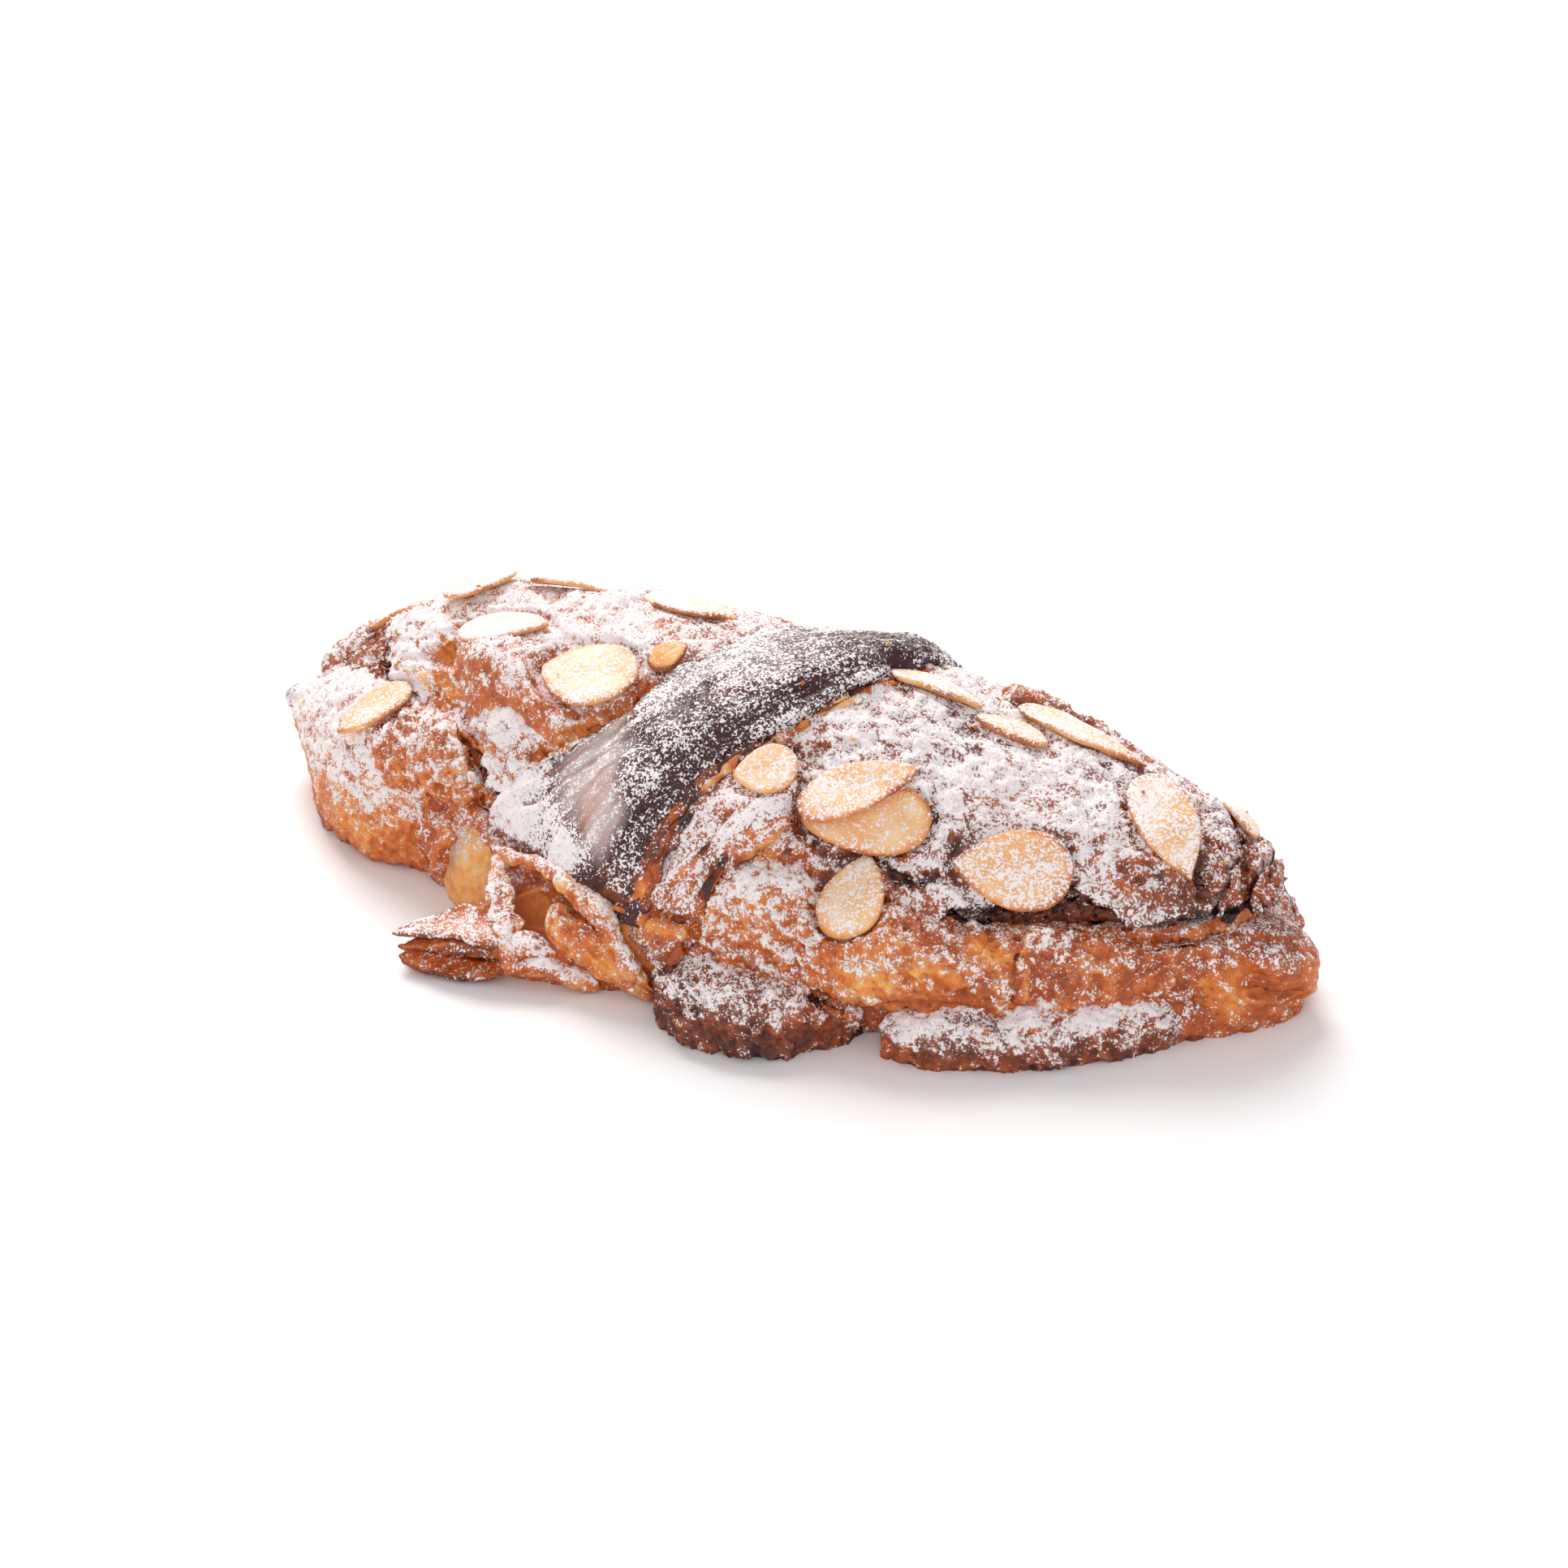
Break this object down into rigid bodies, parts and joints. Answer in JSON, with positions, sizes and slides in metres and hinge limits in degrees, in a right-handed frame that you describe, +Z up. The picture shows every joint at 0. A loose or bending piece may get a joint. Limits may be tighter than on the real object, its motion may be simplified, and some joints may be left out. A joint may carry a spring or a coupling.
{
  "type": "almond croissant",
  "caption": "Flat twice-baked croissant filled with almond cream that has run out at the sides, with flaked almonds and icing sugar on its crust.",
  "frame": {"origin": "bottom centre of the croissant's bounding box, on the surface it rests on", "axes": "+X runs along the croissant towards its bare dough horn, -Y is the side where most of the cream ran out, +Z is up"},
  "size_m": [0.1756, 0.0928, 0.0439],
  "materials": {
    "dough": "golden laminated dough, satin",
    "cream_crust": "set and browned almond cream, matt and gritty",
    "brown_crust": "dark baked crust, satin where bare",
    "almond": "toasted almond slice, satin"
  },
  "bodies": {
    "root": {"croissant_base": "dough", "almond_cream": "cream_crust", "croissant_top": "brown_crust", "almond_slice_01": "almond", "almond_slice_02": "almond", "almond_slice_03": "almond", "almond_slice_04": "almond", "almond_slice_05": "almond", "almond_slice_06": "almond", "almond_slice_07": "almond", "almond_slice_08": "almond", "almond_slice_09": "almond", "almond_slice_10": "almond", "almond_slice_11": "almond", "almond_slice_12": "almond", "almond_slice_13": "almond", "almond_slice_14": "almond", "almond_slice_15": "almond", "almond_slice_16": "almond", "almond_slice_17": "almond", "almond_slice_18": "almond", "almond_slice_19": "almond", "almond_slice_20": "almond", "almond_slice_21": "almond", "almond_slice_22": "almond", "almond_slice_23": "almond", "almond_slice_24": "almond", "almond_slice_25": "almond"}
  },
  "joints": []
}
